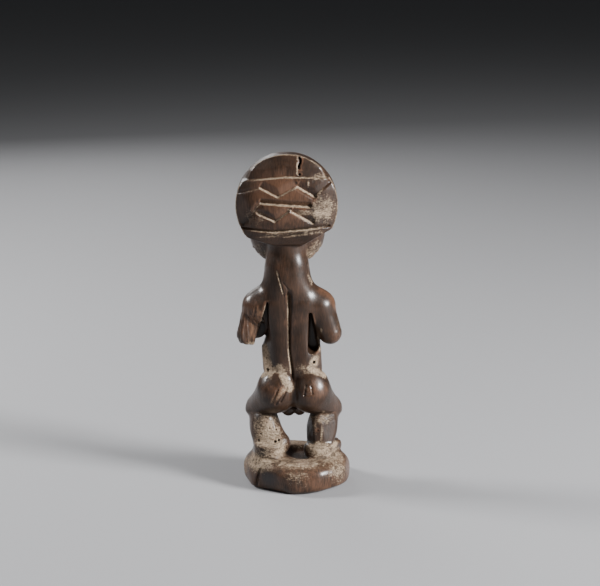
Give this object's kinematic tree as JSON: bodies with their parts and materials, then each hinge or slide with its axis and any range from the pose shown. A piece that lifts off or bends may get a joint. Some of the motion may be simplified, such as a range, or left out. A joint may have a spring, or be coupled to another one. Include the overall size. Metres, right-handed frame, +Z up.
{
  "type": "fertility doll",
  "caption": "Carved wooden standing figure with a round incised crest, hands on the belly and bent knees, on a round plinth.",
  "frame": {"origin": "centre of the plinth's flat underside", "axes": "+Z up from the underside to the top of the crest, the face looks along -Y, the figure's own left side is +X"},
  "size_m": [0.0678, 0.064, 0.2002],
  "materials": {
    "dark_patina_wood": "satin dark brown patina with reddish wear and pale residue in the recesses",
    "worn_red_brown_wood": "rubbed reddish-brown wood with knife facets and a pale worn rim",
    "encrusted_wood": "matt pale grey-beige encrustation over dark wood"
  },
  "bodies": {
    "root": {"plinth": "worn_red_brown_wood", "left_foot": "encrusted_wood", "right_foot": "encrusted_wood", "left_shin": "encrusted_wood", "right_shin": "encrusted_wood", "left_thigh": "dark_patina_wood", "right_thigh": "dark_patina_wood", "left_buttock": "dark_patina_wood", "right_buttock": "dark_patina_wood", "loin_lobes": "dark_patina_wood", "belly": "dark_patina_wood", "chest": "dark_patina_wood", "back": "dark_patina_wood", "shoulders": "dark_patina_wood", "left_upper_arm": "dark_patina_wood", "right_upper_arm": "dark_patina_wood", "left_forearm": "dark_patina_wood", "right_forearm": "dark_patina_wood", "left_hand": "dark_patina_wood", "right_hand": "dark_patina_wood", "neck": "dark_patina_wood", "face": "dark_patina_wood", "nose": "dark_patina_wood", "left_ear": "dark_patina_wood", "right_ear": "dark_patina_wood", "crest": "dark_patina_wood"}
  },
  "joints": []
}
